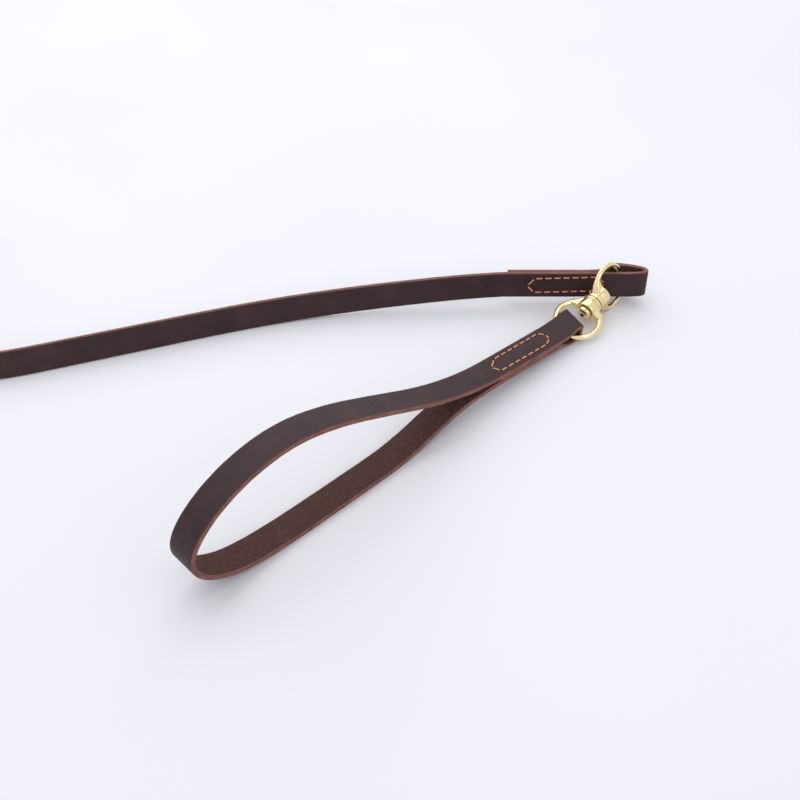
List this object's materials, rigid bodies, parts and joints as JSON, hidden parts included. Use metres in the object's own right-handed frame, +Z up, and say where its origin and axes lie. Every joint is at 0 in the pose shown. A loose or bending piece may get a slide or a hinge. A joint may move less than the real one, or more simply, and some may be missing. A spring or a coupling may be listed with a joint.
{
  "type": "leather dog training leash",
  "caption": "Flat leather training leash with a sewn hand loop, a riveted brass swivel of two ring eyes, and a brass bolt snap at the far end.",
  "frame": {"origin": "on the table, under the middle of the box of the hand loop, the swivel and the lead's sewn near end", "axes": "+Z up; +X to the swivel's right as it lies; -X the way the lead runs from the swivel; +Y away from the hand loop's open side"},
  "size_m": [0.5794, 0.4416, 0.0765],
  "materials": {
    "leather": "oiled, grained",
    "thread": "waxed",
    "brass": "polished",
    "spring_steel": "plain"
  },
  "bodies": {
    "lead": {"lead_swivel_loop": "leather", "lead_swivel_stitching": "thread", "lead_strap": "leather", "lead_snap_loop": "leather", "lead_snap_stitching": "thread"},
    "lead_ring": {"lead_eye": "brass"},
    "rivet": {"swivel_rivet": "brass", "swivel_washer": "brass"},
    "handle_ring": {"handle_eye": "brass"},
    "handle": {"handle_strap": "leather", "handle_stitching": "thread"},
    "hook_eye": {"snap_eye": "brass"},
    "hook": {"snap_body": "brass", "snap_collar": "brass", "snap_spring": "spring_steel"},
    "hook_bolt": {"snap_bolt": "brass", "snap_thumb_stud": "brass"}
  },
  "joints": [
    {"name": "lead_ring_swing", "type": "hinge", "parent": "lead", "child": "lead_ring", "pos_m": [0.14014, 0.14102, 0.01734], "axis": [0, 0.1045, 0.9945], "range_deg": [-1.5, 10]},
    {"name": "swivel_lead_side", "type": "hinge", "parent": "lead_ring", "child": "rivet", "pos_m": [0.11514, 0.11692, 0.0136], "axis": [0.6477, 0.732, 0.2113], "continuous": true},
    {"name": "swivel_handle_side", "type": "hinge", "parent": "rivet", "child": "handle_ring", "pos_m": [0.11514, 0.11692, 0.0136], "axis": [0.6477, 0.732, 0.2113], "continuous": true},
    {"name": "handle_swing", "type": "hinge", "parent": "handle_ring", "child": "handle", "pos_m": [0.09028, 0.09099, 0.00716], "axis": [-0.6933, 0.713, 0.1045], "range_deg": [-3, 6]},
    {"name": "hook_eye_swing", "type": "hinge", "parent": "lead", "child": "hook_eye", "pos_m": [-0.40176, 0.19092, 0.01771], "axis": [0, 0.1219, 0.9925], "range_deg": [-8, 8]},
    {"name": "hook_swivel", "type": "hinge", "parent": "hook_eye", "child": "hook", "pos_m": [-0.40176, 0.22268, 0.01381], "axis": [0, 0.9925, -0.1219], "continuous": true},
    {"name": "hook_bolt_slide", "type": "slide", "parent": "hook", "child": "hook_bolt", "axis": [0, -0.9925, 0.1219], "range_m": [0, 0.012], "stiffness_N_per_m": 150, "springref_m": -0.005, "deforming": ["snap_spring"]}
  ]
}
